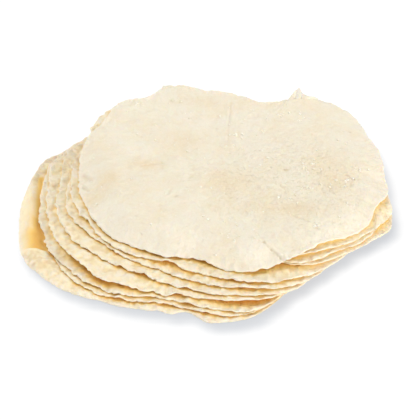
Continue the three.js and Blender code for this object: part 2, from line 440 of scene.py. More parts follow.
def flap_marks(x, y):
    """Height of the folds and bubbles of the lowest sheet."""
    return sum(ridge(x, y, *line) for line in RIDGES) + bubbly(x, y)


print("ridges:", len(RIDGES), "bubbles:", len(bubble_places))

# %% [markdown]
# Dough is soft, so each rim sinks until it rests on the sheets below. To find out how
# far, the script keeps a height map: a grid over the plan that holds the height of
# everything laid so far. Each new sheet is then drawn into it.

# %% A height map of the stack
CELL = 0.8 * MM
MARGIN = 60 * MM
HOLE = 1.3 * MM
low_corner = np.array(cad_box[0][:2]) - MARGIN
cells = np.ceil((np.array(cad_box[1][:2]) + MARGIN - low_corner) / CELL).astype(int)
height_map = np.zeros(cells)


def cell_of(x, y):
    """Row and column of the height map's cell at a plan place."""
    return ((x - low_corner[0]) / CELL).astype(int), ((y - low_corner[1]) / CELL).astype(int)


def blurred(values):
    """Each cell's value, evened out with its neighbours."""
    for axis in (0, 1):
        values = 0.5 * values + 0.25 * (np.roll(values, 1, axis) + np.roll(values, -1, axis))
    return values


def add_to_map(x, y, z):
    """Draws a sheet into the height map and fills single cells that its points miss."""
    global height_map
    np.maximum.at(height_map, cell_of(x, y), z)
    for axis in (0, 1):
        around = np.minimum(np.roll(height_map, 1, axis), np.roll(height_map, -1, axis))
        height_map = np.where(height_map < around - HOLE, around, height_map)


print("cells of the height map:", cells)

# %% [markdown]
# The ripple of the plain solids' outlines is as coarse as their rays, so it is evened
# out, and a finer ragged edge takes its place: random heights of several sizes, added
# up. Each sheet has a seed of its own, so that no two are ragged alike.

# %% Ragged edges, as sizes and heights in millimetres
RAGGED = [(15.0, 0.60), (7.0, 0.70), (3.4, 0.75), (1.9, 0.60), (1.2, 0.30)]
RAGGED_TOP = [(7.0, 0.30), (3.4, 0.55), (1.9, 0.50)]
RAGGED_LOWEST = [(9.0, 0.45), (3.4, 0.30), (1.9, 0.15)]
FIRST_SEED = 40
SEED_STEP = 50
seeds = {name: FIRST_SEED + SEED_STEP * n for n, name in enumerate(reversed(sheet_names))}


def layered(x, y, layers, seed):
    """Sum of swellings of several sizes; all in millimetres."""
    return sum(height * swelling(x, y, size, seed + n) for n, (size, height) in enumerate(layers))


print("layers of a ragged edge:", len(RAGGED))

# %% [markdown]
# In some places the real sheets reach a little further, or less far: at the back of the
# top one, at the right end of the upper ones, and along the wavy front of the lowest. A
# trim has its angle, its change of the reach and the angle over which it fades. The torn
# tip at the back leans to the left, so it is cut steeper there and moved over.

# %% Trims, as angles in degrees and changes in millimetres
TRIMS = {
    "tortilla_01": [(-110, 2.2, 5), (-99, 3, 8), (-91.5, 1.5, 3),
                    (-85.4, -2.6, 2.8), (-78.2, 2.4, 3)],
    "tortilla_08": [(-25, 2, 6)],
    "tortilla_09": [(-24, 2.2, 6)],
    "tortilla_10": [(-21, 3, 6)],
    "tortilla_11": [(108.8, -0.9, 3.2), (101.2, 1, 3.2), (93.7, -1.8, 3.2),
                    (86.2, -0.6, 3.2), (-12, 5, 7)],
}
TIP_ANGLE = 60.2
TIP_HALF_WIDTH = 6.0
TIP_REACH = 13.0
TIP_ZONE = 7.0
TIP_ASIDE = 10.0
TIP_LEAN = 10.8
TIP_CUT = 1.2
TIP_STEEP = 0.9
TIP_DEPTH = 4.0


def torn_tip(turn, reach):
    """Reach of the top sheet with its tip cut steeper, and how far it leans."""
    near_tip = np.abs(turn - TIP_ANGLE) < TIP_HALF_WIDTH
    without_tip = np.interp(turn, turn[~near_tip], reach[~near_tip])
    steep = np.exp(-(np.maximum(turn - TIP_ANGLE, 0) / TIP_STEEP) ** 2)
    reach = np.where(near_tip, without_tip + (reach - without_tip) * steep, reach)
    out = np.clip((reach - without_tip) / (TIP_REACH * MM), 0, 1)
    lean = TIP_ASIDE * np.exp(-((turn - TIP_ANGLE) / TIP_ZONE) ** 2) - TIP_LEAN * out
    return reach - TIP_CUT * MM * out, lean * MM


print("trims:", {name: len(trims) for name, trims in TRIMS.items()})

# %% The outlines
def outline_of(name, seed):
    """Angle, reach, lean and ragged edge of a sheet in every column."""
    lie = lies[name]
    count = len(lie["reach"])
    places = np.arange(COLUMNS) * count / COLUMNS
    even = 2 * math.pi * np.arange(count) / count - math.pi
    angle = between_rays(lie["angle"] - even, places) + 2 * math.pi * places / count - math.pi
    ray_reach = lie["reach"]
    if name != top:
        ray_reach = 0.5 * ray_reach + 0.25 * (np.roll(ray_reach, 1) + np.roll(ray_reach, -1))
    reach = between_rays(ray_reach, places)
    lean = np.zeros(COLUMNS)
    turn = np.degrees(angle)
    for toward, change, half_width in TRIMS.get(name, []):
        reach += change * MM * np.exp(-((turn - toward) / half_width) ** 2)
    if name == top:
        reach, lean = torn_tip(turn, reach)
    x = lie["middle"][0] + reach * np.cos(angle)
    y = lie["middle"][1] + reach * np.sin(angle)
    layers = {top: RAGGED_TOP, lowest: RAGGED_LOWEST}.get(name, RAGGED)
    ragged = layered(x / MM, y / MM, layers, seed) * MM
    return {"middle": lie["middle"], "angle": angle, "reach": reach, "ragged": ragged,
            "places": places, "lean": lean, "x": x, "y": y}


outlines = {name: outline_of(name, seeds[name]) for name in sheet_names}
for name, outline in outlines.items():
    print(name, "mean reach in mm:", round(outline["reach"].mean() / MM, 1))

# %% [markdown]
# A rim can only lift where no other sheet lies on it. So each of its columns gets a
# share: nothing inside a higher sheet's outline, and all from a few millimetres outside.

# %% Free rims
FREE_REACH = 6 * MM


def outside(sheet, x, y):
    """How far places lie outside a sheet's outline, below zero inside it."""
    turn, away = polar(sheet["middle"], x, y)
    return away - np.interp(turn, sheet["angle"], sheet["reach"], period=2 * math.pi)


for name, outline in outlines.items():
    free = np.ones(COLUMNS)
    for higher in sheet_names[sheet_names.index(name) + 1:]:
        apart = outside(outlines[higher], outline["x"], outline["y"])
        free = np.minimum(free, np.clip(apart / FREE_REACH, 0, 1))
    outline["free"] = free
    print(name, "share of the rim that can lift:", round(float(free.mean()), 2))

# %% [markdown]
# Now each sheet is laid, from the table up. Every point of the flat disc is moved to the
# place that its column and its share of the radius have on the plain solid. At the front
# and the sides the rim sinks until it rests. That alone would slide it down in the
# picture, so it moves back as well, down the line of sight of a camera forty degrees
# above the table. How far it sinks depends on where it moves to, so the two are worked
# out in a few rounds.

# %% How a rim sinks and rests
SETTLE_DEPTH = 22 * MM
RESTING_DEPTH = 3 * MM
REST_GAP = 0.2 * MM
SETTLE_MOST = 7 * MM
SOFTENING = 4
SETTLE_COLUMNS = 8
ELEVATION = math.radians(40)
BACK_PER_DROP = 1 / math.tan(ELEVATION)
SINK_ROUNDS = 5
SINK_START = 0.35
SINK_WHOLE = -0.2
KEPT_CLEAR = {"tortilla_04": [(226, 22), (286, 14)]}


def turn_from(toward, angle):
    """Angles in radians, as degrees from -180 to 180 off a direction in degrees."""
    return (np.degrees(angle) - toward + 180) % 360 - 180


def sinking(name, column, depth, clearance):
    """How far the rim sinks in each column until it rests on what is below."""
    angle = outlines[name]["angle"]
    turns = range(-SETTLE_COLUMNS, SETTLE_COLUMNS + 1)
    least = np.full(COLUMNS, SETTLE_MOST)
    near = depth < RESTING_DEPTH
    np.minimum.at(least, column[near], clearance[near] - REST_GAP)
    least = np.min([np.roll(least, turn) for turn in turns], axis=0)
    least = np.mean([np.roll(least, turn) for turn in turns], axis=0)
    least = least * eased((SINK_START - np.sin(angle)) / (SINK_START - SINK_WHOLE))
    for toward, spread_angle in KEPT_CLEAR.get(name, []):
        least = least * (1 - np.exp(-(turn_from(toward, angle) / spread_angle) ** 2))
    return np.maximum(least, 0)


def rested(name, x, y, z, column, depth):
    """Heights of the points with the rim sunk to rest, and how far each moves back."""
    half = half_thickness(depth)
    lowered = 1 - eased(depth / SETTLE_DEPTH)
    evened = blurred(height_map)
    sink = np.zeros(COLUMNS)
    for _ in range(SINK_ROUNDS):
        below = evened[cell_of(x, y + BACK_PER_DROP * sink[column] * lowered)]
        sink = 0.5 * (sink + sinking(name, column, depth, z - half - below))
    back = BACK_PER_DROP * sink[column] * lowered
    shifted = [np.roll(height_map, turn, axis) for turn in (-1, 0, 1) for axis in (0, 1)]
    rounded = np.max(shifted, axis=0)
    for _ in range(SOFTENING):
        rounded = blurred(rounded)
    least_z = rounded[cell_of(x, y + back)] + half + 0.5 * REST_GAP
    print(name, "rim sinks by", round(float(sink.mean()) / MM, 2), "mm")
    return np.maximum(z - sink[column] * lowered, least_z), back


print("a rim moves back by", round(BACK_PER_DROP, 2), "mm for each mm down")

# %% [markdown]
# Then the rim flutters a little, and in a few places it puckers or arches and opens a
# dark gap below it. The arches stand at the angles where the picture shows such gaps. At
# the right front the sheets are pressed together, so the ragged edge is weaker there.

# %% Unevenness of a rim, as sizes and heights in millimetres
FLUTTER = [(15.0, 0.25), (7.0, 0.38), (3.2, 0.42), (1.9, 0.34)]
FLUTTER_DEPTH = 5.0
RIM_BIAS = 0.15
PUCKER_SIZE = 9.0
PUCKER_START = 0.3
PUCKER_HEIGHT = 1.6
PUCKER_DEPTH = 4.0
RAGGED_DEPTH = 3.0
PRESSED_TOWARD = -30.0
PRESSED_SHARE = 0.65
ARCHES = {
    "tortilla_02": [(244, 3, 1.3), (260, 7, 0.8), (275, 4, 1)],
    "tortilla_03": [(254, 3, 1), (270, 3.5, 1.4)],
    "tortilla_04": [(262, 3.5, 1.6)],
    "tortilla_05": [(234, 2.5, 1.2), (244, 5.5, 1.9), (261, 3.5, 1.3)],
    "tortilla_06": [(225, 3, 0.9), (275, 4, 0.9)],
    "tortilla_07": [(207, 2.2, 2), (245, 6, 1.6)],
    "tortilla_11": [(234, 6.5, 0.7), (243.7, 1.6, -0.3), (247.5, 3, 1.1), (254, 5, 0.3)],
}


def ragged_edge(outline):
    """Ragged edge in metres, weaker where the sheets are pressed together."""
    pressed = eased(np.cos(outline["angle"] - math.radians(PRESSED_TOWARD)))
    return outline["ragged"] * (1 - PRESSED_SHARE * pressed)


def puckers(x, y, seed):
    """Lift of the rim, in millimetres: a small arch here and there."""
    return PUCKER_HEIGHT * np.maximum(swelling(x, y, PUCKER_SIZE, seed) - PUCKER_START, 0)


def arches(name, angle):
    """Lift of the rim where it arches most, in millimetres, in each column."""
    lift = np.zeros(COLUMNS)
    for toward, half_width, height in ARCHES.get(name, []):
        along = DISC_RADIUS / MM * np.radians(turn_from(toward, angle))
        lift += height * np.exp(-(along / half_width) ** 2)
    return lift


print("arches:", {name: len(lifts) for name, lifts in ARCHES.items()})

# %% [markdown]
# The top face has a low relief everywhere. Its finer part is also kept as a number, so
# that the colour can follow it. On the top sheet the right half is the roughest, and on
# the lowest the folded flap is smooth.

# %% Relief of the top face, as sizes and heights in millimetres
RELIEF = [(22.0, 0.18), (9.0, 0.22), (4.2, 0.34), (2.3, 0.34)]
RELIEF_TOP = [(26.0, 0.22), (11.0, 0.16), (4.6, 0.16), (2.3, 0.20)]
FINE_FROM = 2
EVEN_SHARE = 0.6
ROUGH_PLACE = (50.0, -3.0)
ROUGH_SPREAD = (52.0, 42.0)
SMOOTH_SHARE = 0.50
SMOOTH_FLAP = ((-111.5, 10.0), (-110.0, -38.0), 9.0)


def relief_of(name, x, y, seed):
    """A sheet's relief, the grain of its finer part, and how rough each place is."""
    layers = RELIEF_TOP if name == top else RELIEF
    relief = layered(x, y, layers, seed)
    fine = layers[FINE_FROM:]
    grain = layered(x, y, fine, seed + FINE_FROM) / sum(height for size, height in fine)
    rough = np.full(len(x), EVEN_SHARE)
    if name == lowest:
        start, end, width = SMOOTH_FLAP
        kept_share = 1 - np.exp(-(from_line(x, y, start, end) / width) ** 4)
        rough *= kept_share
        relief *= kept_share
        grain = grain * kept_share + bubbly(x, y) - bubbly_share(x, y)
    if name == top:
        dx, dy = (x - ROUGH_PLACE[0]) / ROUGH_SPREAD[0], (y - ROUGH_PLACE[1]) / ROUGH_SPREAD[1]
        rough = SMOOTH_SHARE + (1 - SMOOTH_SHARE) * np.exp(-(dx * dx + dy * dy) ** 2)
    return relief, grain, rough


print("layers of the relief:", len(RELIEF))

# %% Laying the sheets
FLUTTER_SEED = 10
PUCKER_SEED = 15
RELIEF_SEED = 20
MARKS = {top: top_marks, lowest: flap_marks}


def disc_points(mesh):
    """Column, share of the radius, depth in from the rim and side of a disc's points."""
    place = np.empty(3 * len(mesh.vertices))
    mesh.vertices.foreach_get("co", place)
    place = place.reshape(-1, 3)
    share = np.clip(np.hypot(place[:, 0], place[:, 1]) / DISC_RADIUS, 0, 1)
    depth = (1 - share) * DISC_RADIUS
    return columns_of(place), share, depth, place[:, 2] / half_thickness(depth)


def laid_sheet(name, disc, seed):
    """A fine sheet through one plain solid, with the places of its points."""
    lie, outline = lies[name], outlines[name]
    shares = np.array(lie["shares"])
    heights = between_rays(lie["heights"], outline["places"])
    slopes = ring_slopes(shares, heights)

    mesh = disc.copy()
    mesh.name = "soft_" + name
    column, share, depth, side = disc_points(mesh)
    angle, middle = outline["angle"], outline["middle"]

    z = between_rings(shares, heights, slopes, share, column)
    radius = share * outline["reach"][column]
    x = middle[0] + radius * np.cos(angle[column])
    y = middle[1] + radius * np.sin(angle[column])
    z, back = rested(name, x, y, z, column, depth)

    radius += ragged_edge(outline)[column] * np.exp(-depth / (RAGGED_DEPTH * MM))
    x = middle[0] + radius * np.cos(angle[column])
    x += outline["lean"][column] * np.exp(-depth / (TIP_DEPTH * MM))
    y = middle[1] + radius * np.sin(angle[column]) + back

    px, py = x / MM, y / MM
    free = outline["free"][column]
    flutter = layered(px, py, FLUTTER, seed + FLUTTER_SEED) + RIM_BIAS
    z += np.exp(-(depth / (FLUTTER_DEPTH * MM)) ** 2) * free * flutter * MM
    lift = free * puckers(px, py, seed + PUCKER_SEED) + arches(name, angle)[column]
    z += np.exp(-(depth / (PUCKER_DEPTH * MM)) ** 2) * lift * MM
    relief, grain, rough = relief_of(name, px, py, seed + RELIEF_SEED)
    z += side * half_thickness(depth) + np.clip(side, 0, 1) * relief * MM
    mark = MARKS[name](px, py) if name in MARKS else np.zeros(len(px))
    z = np.maximum(z + mark * MM, 0.0)
    mesh.vertices.foreach_set("co", np.stack([x, y, z], axis=1).ravel())
    mesh.update()
    add_to_map(x, y, z)
    return mesh, {"x": x, "y": y, "z": z, "side": side, "column": column, "depth": depth,
                  "grain": grain, "rough": rough, "mark": mark}


laid = {}
for name in sheet_names:
    laid[name] = laid_sheet(name, top_disc if name == top else lower_disc, seeds[name])
    print(name, "is laid and reaches", round(laid[name][1]["z"].max() / MM, 1), "mm high")

# %% [markdown]
# Light that falls beside or under a rim bounces from dough to dough and comes out
# golden. The renderer does a part of that, and the rest is painted shade: a value kept
# with each point of the mesh says how much golden and brown shade is painted there.
# Outside a higher rim it fades from a half to nothing, over a reach that grows with the
# height of that rim, and under it it goes on to one. It is less at the very rim, which
# is thin and gets a painted pale highlight, and at the right and left ends, which lie
# open to the light. The fold of the lowest sheet gets painted golden shade in its
# valley, along lines of its own.

# %% Painted golden shade in the valley of the lowest sheet, and the open sides, in millimetres
VALLEY_SHADE_LINES = [
    ((-108, 26), (-107, 8), 2.4, 1.2),
    ((-106.2, 8), (-104.2, -17), 3.2, 1.4),
    ((-104.2, -17), (-102.7, -32), 4.6, 1.45),
    ((-103.5, -32), (-101.5, -46), 7, 1.5),
]
VALLEY_SHADE_MOST = 0.72
VALLEY_SHADE_END = -46.5
VALLEY_SHADE_END_WIDTH = 2.0
OPEN_SHARE = 0.42
OPEN_FROM = 22.0
OPEN_WIDTH = 45.0
LEFT_SHARE = 0.45
LEFT_FROM = 62.0
LEFT_WIDTH = 25.0
AT_THE_RIM = 0.5


def painted_valley_shade_of(x, y):
    """Painted golden shade of the lowest sheet in the valley of its fold."""
    painted_shade = np.zeros(len(x))
    for start, end, width, strength in VALLEY_SHADE_LINES:
        valley_shade = np.minimum(ridge(x, y, start, end, width, AT_THE_RIM * strength), VALLEY_SHADE_MOST)
        painted_shade = np.maximum(painted_shade, valley_shade * eased((y - VALLEY_SHADE_END) / VALLEY_SHADE_END_WIDTH))
    return painted_shade


def open_side_of(name, x):
    """Share of its painted shade that a sheet loses where it lies open to the light."""
    open_side = OPEN_SHARE * eased((x - OPEN_FROM) / OPEN_WIDTH)
    if name != lowest:
        open_side += LEFT_SHARE * eased((-x - LEFT_FROM) / LEFT_WIDTH)
    return open_side


print("lines of the valley:", len(VALLEY_SHADE_LINES))

# %% Painted shade beside and under higher rims
LOWEST_STEP = 0.1 * MM
HIGHEST_STEP = 3.0 * MM
FULL_STEP = 1.3 * MM
DEEP_FULL = 3.0 * MM
# How far in from its own rim a sheet gets a painted pale highlight and less painted shade.
RIM_HIGHLIGHT_DEPTH = 1.8 * MM
RIM_SHADE_LIFT = 0.75
AT_THE_NOSE = 0.1


def rim_of(name, at):
    """Angle, reach and height of the points of a laid sheet's rim."""
    at_rim = np.abs(at["side"]) < AT_THE_NOSE
    middle = outlines[name]["middle"]
    angle, reach = polar(middle, at["x"][at_rim], at["y"][at_rim])
    return {"middle": middle, "angle": angle, "reach": reach, "z": at["z"][at_rim]}


def painted_shade_of(name, at):
    """Painted shade of a sheet's points beside and under the rims of all higher sheets."""
    px, py = at["x"] / MM, at["y"] / MM
    painted_shade = painted_valley_shade_of(px, py) if name == lowest else np.zeros(len(px))
    for higher in sheet_names[sheet_names.index(name) + 1:]:
        above = made_rims[higher]
        apart = outside(above, at["x"], at["y"])
        turn, _ = polar(above["middle"], at["x"], at["y"])
        step = np.interp(turn, above["angle"], above["z"], period=2 * math.pi) - at["z"]
        step = np.clip(step, LOWEST_STEP, HIGHEST_STEP)
        beside = np.clip(1 - apart / step, 0, 1) * np.clip(step / FULL_STEP, 0, 1)
        below = AT_THE_RIM + (1 - AT_THE_RIM) * np.clip(-apart / DEEP_FULL, 0, 1)
        # painted shade: up to a half beside a higher rim, fading outwards, and up to one under it
        painted_shade = np.maximum(painted_shade, np.where(apart > 0, AT_THE_RIM * beside, below))
    # the painted shade is lifted at the sheet's own rim, where a pale highlight is painted
    pale = RIM_SHADE_LIFT * np.exp(-(at["depth"] / RIM_HIGHLIGHT_DEPTH) ** 2)
    return painted_shade * (1 - open_side_of(name, px)) * (1 - pale)


made_rims = {name: rim_of(name, at) for name, (mesh, at) in laid.items()}
print("points of the top rim:", len(made_rims[top]["z"]))

# %% [markdown]
# The top sheet has warm and pale clouds in places that the picture shows, each with its
# place, half widths and strength, and the flap of the lowest one is a little warmer.

# %% Warm and pale places, in millimetres
WARM_PLACES = [
    ((-36.7, 11.3), 12, 6, 1), ((-71.1, -13.1), 8, 7, 1), ((-60.7, -2), 8, 6, 0.9),
    ((-19.5, 39.2), 16, 14, 0.5), ((16, -6.1), 19, 13, 0.8), ((53.5, -30.6), 20, 7, 0.8),
    ((81.7, -6.1), 11, 13, 0.8), ((10.2, 75.7), 14, 10, 0.4), ((70, 20), 14, 12, 0.4),
    ((-3.2, 58.3), 15, 10, -0.8), ((-40.5, 25), 13, 7, -0.8), ((59.7, 25), 12, 9, -0.5),
    ((-14.4, -53.8), 24, 12, -0.8), ((-55, -35), 18, 12, -0.8), ((20, -66), 24, 8, -0.6),
]
WARM_FLAP = ((-109.0, 0.0), (-108.5, -30.0), 4.5, 0.45)


def warmth_of(name, x, y):
    """Warmth of a sheet's colour, from -1 in a pale place to 1 in a warm one."""
    if name == lowest:
        return ridge(x, y, *WARM_FLAP)
    places = WARM_PLACES if name == top else []
    return sum((strength * np.exp(-((x - at_x) / half_x) ** 2 - ((y - at_y) / half_y) ** 2)
                for (at_x, at_y), half_x, half_y, strength in places), np.zeros(len(x)))


print("warm and pale places:", len(WARM_PLACES))

# %% [markdown]
# Each finished piece stands for its plain solid, which is hidden, and rides on the one
# body of the stack. The numbers that its material will read are kept with its points.

# %% The finished pieces
# Depth of a mark, in millimetres, at which its painted shade is full.
CREASE_SHADE_FULL = 0.6


def linked(name, data):
    """A new object at the origin, linked to the scene."""
    made = bpy.data.objects.new(name, data)
    bpy.context.scene.collection.objects.link(made)
    return made


sheets = {}
for name, (mesh, at) in laid.items():
    kept_values = {
        # painted shade beside and under higher rims, and in the valley of the lowest sheet
        "painted_shade": painted_shade_of(name, at), "grain": at["grain"], "rough": at["rough"],
        # painted shade in the grooves and pits of the marks
        "crease": np.clip(-at["mark"] / CREASE_SHADE_FULL, 0, 1),
        # painted pale highlight along each rim
        "rim": np.exp(-(at["depth"] / RIM_HIGHLIGHT_DEPTH) ** 2),
        "warmth": warmth_of(name, at["x"] / MM, at["y"] / MM),
    }
    for title, values in kept_values.items():
        mesh.attributes.new(title, "FLOAT", "POINT").data.foreach_set("value", values)
    piece = linked("soft_" + name, mesh)
    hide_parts(name)
    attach(piece, "root")
    sheets[name] = piece
    print(piece.name, "mean shelter", round(float(kept_values["painted_shade"].mean()), 2))

# %% [markdown]
# Dry flour clings to the top sheet: small lumps together in a few places, and specks all
# over it. Particles would be lost when the model is exported, so every lump is a small
# icosphere, squeezed and dented, in one mesh. It sits in the surface, at a height that
# is read from the height map.

# %% Lumps of flour
LUMP_PLACES = [
    ((64, 64.1), 4.5), ((56.8, 68.3), 3), ((62.5, 6.2), 2.2), ((62.8, 11.3), 2),
    ((91, -4), 2), ((67.4, -48), 2.5), ((31, -59), 1.5), ((17.7, -58.2), 3.5),
    ((38.5, 47.6), 0.8), ((21.9, 44.9), 2), ((98.9, 7.5), 3), ((-46, 78), 3),
    ((-22, 83), 2), ((70, 12), 5), ((78, -4), 5), ((57, -19), 3.5),
    ((64, -13), 3), ((2, 4), 6), ((30, 10), 8),
]
LUMPS_TOGETHER = 8
LONE_LUMPS = 120
LARGEST_LUMP = 1.15 * MM
SMALLEST_LUMP = 0.4 * MM
KEPT_FROM_RIM = 0.93
LUMP_SEED = 7
SQUEEZE = (0.7, 1.2)
FLATTEN = (1, 1, 0.6)
DENT = 0.25
STANDS_OUT = 0.15


def add_lump(bm, place, radius, draws):
    """One dented lump that sits in the surface."""
    squeeze = Vector(draws.uniform(*SQUEEZE, 3) * FLATTEN)
    turn = Matrix.Rotation(draws.uniform(0, math.pi), 4, "Z")
    move = Matrix.Translation(place) @ turn @ Matrix.Diagonal(squeeze * radius).to_4x4()
    for vert in bmesh.ops.create_icosphere(bm, subdivisions=1, radius=1.0, matrix=move)["verts"]:
        vert.co += (vert.co - Vector(place)) * draws.uniform(-DENT, DENT)


draws = np.random.default_rng(LUMP_SEED)
middle = lies[top]["middle"]
lump_places = [np.array(place) * MM + draws.normal(0, spread * MM, 2)
               for place, spread in LUMP_PLACES for _ in range(LUMPS_TOGETHER)]
for _ in range(LONE_LUMPS):
    turn, share = draws.uniform(-math.pi, math.pi), KEPT_FROM_RIM * math.sqrt(draws.uniform(0, 1))
    reach = np.interp(turn, outlines[top]["angle"], outlines[top]["reach"], period=2 * math.pi)
    lump_places.append(middle[:2] + share * reach * np.array([math.cos(turn), math.sin(turn)]))
bm = bmesh.new()
for x, y in lump_places:
    radius = SMALLEST_LUMP + (LARGEST_LUMP - SMALLEST_LUMP) * draws.uniform(0, 1) ** 2
    column, row = cell_of(np.array([x]), np.array([y]))
    around = height_map[column[0] - 1:column[0] + 2, row[0] - 1:row[0] + 2]
    add_lump(bm, (x, y, float(np.median(around)) + STANDS_OUT * radius), radius, draws)
lump_mesh = smooth_mesh(bm, "flour_lumps")
lumps = linked("flour_lumps", lump_mesh)
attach(lumps, "root")
print("lumps of flour:", len(lump_places), "faces:", len(lump_mesh.polygons))

# %% [markdown]
# Flour dough is pale cream, with faint warm clouds and a dusting of dry flour, so it is
# built from one cream with low-contrast noise on Object coordinates, which stay put on
# the dough. A little subsurface scattering lets light soak into the thin rims, and a
# fine bump gives the floury grain.

# %% Helpers for the finishes
def set_inputs(made, inputs):
    """Sets inputs of a node by their names, written with low lines for blanks."""
    for key, value in inputs.items():
        made.inputs[key.replace("_", " ")].default_value = value


def node(tree, kind, **inputs):
    """A new shader node with some of its inputs set."""
    made = tree.nodes.new(kind)
    set_inputs(made, inputs)
    return made


def noise(tree, coords, size, detail=2.0, roughness=0.5):
    """Noise of one lump size in metres on Object coordinates."""
    made = node(tree, "ShaderNodeTexNoise", Scale=1.0 / size, Detail=detail, Roughness=roughness)
    tree.links.new(coords, made.inputs["Vector"])
    return made.outputs["Fac"]


def spread(tree, value, low, high, start, end):
    """Maps a value from one span to another, held at both ends."""
    made = node(tree, "ShaderNodeMapRange", From_Min=low, From_Max=high, To_Min=start, To_Max=end)
    tree.links.new(value, made.inputs["Value"])
    return made.outputs["Result"]


def combined(tree, operation, first, second):
    """Sum or product of two values."""
    made = tree.nodes.new("ShaderNodeMath")
    made.operation = operation
    tree.links.new(first, made.inputs[0])
    tree.links.new(second, made.inputs[1])
    return made.outputs[0]


def mixed(tree, share, first, second):
    """Colour mix by a share; a colour may be a link or a plain value."""
    made = tree.nodes.new("ShaderNodeMix")
    made.data_type = "RGBA"
    tree.links.new(share, made.inputs["Factor"])
    for socket, colour in ((made.inputs[6], first), (made.inputs[7], second)):
        if isinstance(colour, tuple):
            socket.default_value = colour
        else:
            tree.links.new(colour, socket)
    return made.outputs[2]


def kept(tree, title):
    """A number kept with the points of the mesh."""
    made = tree.nodes.new("ShaderNodeAttribute")
    made.attribute_name = title
    return made.outputs["Fac"]


def plain_finish(name, **inputs):
    """A new material with some inputs of its shader set, its node tree and its shader."""
    made = bpy.data.materials.new(name)
    made.use_nodes = True
    shader = made.node_tree.nodes["Principled BSDF"]
    set_inputs(shader, inputs)
    return made, made.node_tree, shader


print("sheets to finish:", len(sheets))

# %% [markdown]
# The colours are laid over one another. Each layer follows a noise or a kept number,
# grows over a span of it from nothing up to its share, and has its own tone. The last
# layers are painted light: shade in creases and pits, a pale highlight along each rim,
# and golden and brown shade beside and under higher rims.

# %% The dough finish
PALE_CREAM = (0.845, 0.782, 0.640, 1)
WARM_CREAM = (0.905, 0.785, 0.53, 1)
WARM_CLOUD = (0.80, 0.635, 0.40, 1)
TAN = (0.74, 0.54, 0.28, 1)
# Pale flour of the dust and the pale places, also used as the painted highlight along each rim.
FLOUR_AND_RIM_HIGHLIGHT = (0.88, 0.81, 0.69, 1)
# Painted shade in the grooves and pits of the top sheet.
CREASE_SHADE_TAN = (0.56, 0.41, 0.23, 1)
CREASE_SHADE_SHARE = 0.42
# Painted shade: golden beside and under higher rims, brown deeper under them.
PAINTED_GOLDEN_SHADE = (0.895, 0.57, 0.13, 1)
PAINTED_GAP_SHADE = (0.74, 0.33, 0.05, 1)
GOLDEN_SHADE_SHARE = 0.85
# Share of the painted pale highlight along each rim.
PAINTED_RIM_HIGHLIGHT_SHARE = 0.5
WARM_SHARE = 0.6
COOL_SHARE = 0.5
CLOUD_SIZE = 22 * MM
FLAKE_SIZE = 1.3 * MM
FLAKE_HEIGHT = 1.15
GRAIN_SIZE = 1.2 * MM
BUMP_HEIGHT = 0.42 * MM
BUMP_STRENGTH = 0.9
SOAK_DEPTH = 1.2 * MM
SOAK_BY_COLOUR = (1.0, 0.65, 0.3)
SOAK_SHARE = 0.3


def dough_colour(tree, coords, cream, cloud_share, spots, dust, grain_share):
    """The cream of a sheet under its layers; spots and dust are given as size and share."""
    warmth, grain, painted_shade = kept(tree, "warmth"), kept(tree, "grain"), kept(tree, "painted_shade")
    spot_noise = noise(tree, coords, spots[0], 3.0, 0.6)
    dust_noise = noise(tree, coords, dust[0], 4.0, 0.7)
    layers = [
        (noise(tree, coords, CLOUD_SIZE, 3.0), 0.44, 0.64, cloud_share, WARM_CLOUD),
        (warmth, 0.0, 1.0, WARM_SHARE, WARM_CLOUD),
        (warmth, 0.0, -1.0, COOL_SHARE, FLOUR_AND_RIM_HIGHLIGHT),
        (spot_noise, 0.46, 0.64, spots[1], TAN),
        (dust_noise, 0.50, 0.68, dust[1], FLOUR_AND_RIM_HIGHLIGHT),
        # painted shade in grooves and pits
        (kept(tree, "crease"), 0.0, 1.0, CREASE_SHADE_SHARE, CREASE_SHADE_TAN),
        (grain, -0.05, -0.6, grain_share, TAN),
        (grain, 0.0, 0.5, grain_share, FLOUR_AND_RIM_HIGHLIGHT),
        # painted pale highlight along each rim
        (kept(tree, "rim"), 0.0, 1.0, PAINTED_RIM_HIGHLIGHT_SHARE, FLOUR_AND_RIM_HIGHLIGHT),
        # painted shade: golden beside higher rims, brown under them
        (painted_shade, 0.0, AT_THE_RIM, GOLDEN_SHADE_SHARE, PAINTED_GOLDEN_SHADE),
        (painted_shade, AT_THE_RIM, 1.0, 1.0, PAINTED_GAP_SHADE),
    ]
    colour = cream
    for value, low, high, share, tone in layers:
        factor = spread(tree, value, low, high, 0.0, share)
        if value == spot_noise:
            factor = combined(tree, "MULTIPLY", factor, kept(tree, "rough"))
        colour = mixed(tree, factor, colour, tone)
    return colour


def dough_finish(name, **look):
    """Material of the dough, with soft light and a floury bump."""
    made, tree, shader = plain_finish(
        name, Roughness=0.85, Specular_IOR_Level=0.25, Subsurface_Weight=SOAK_SHARE,
        Subsurface_Radius=SOAK_BY_COLOUR, Subsurface_Scale=SOAK_DEPTH)
    coords = tree.nodes.new("ShaderNodeTexCoord").outputs["Object"]
    tree.links.new(dough_colour(tree, coords, **look), shader.inputs["Base Color"])
    flakes = noise(tree, coords, FLAKE_SIZE, 4.0, 0.7)
    flakes = spread(tree, flakes, 0.56, 0.74, 0.0, FLAKE_HEIGHT)
    flakes = combined(tree, "MULTIPLY", flakes, kept(tree, "rough"))
    bump = node(tree, "ShaderNodeBump", Strength=BUMP_STRENGTH, Distance=BUMP_HEIGHT)
    height = combined(tree, "ADD", noise(tree, coords, GRAIN_SIZE, 3.0, 0.6), flakes)
    tree.links.new(height, bump.inputs["Height"])
    tree.links.new(bump.outputs["Normal"], shader.inputs["Normal"])
    return made


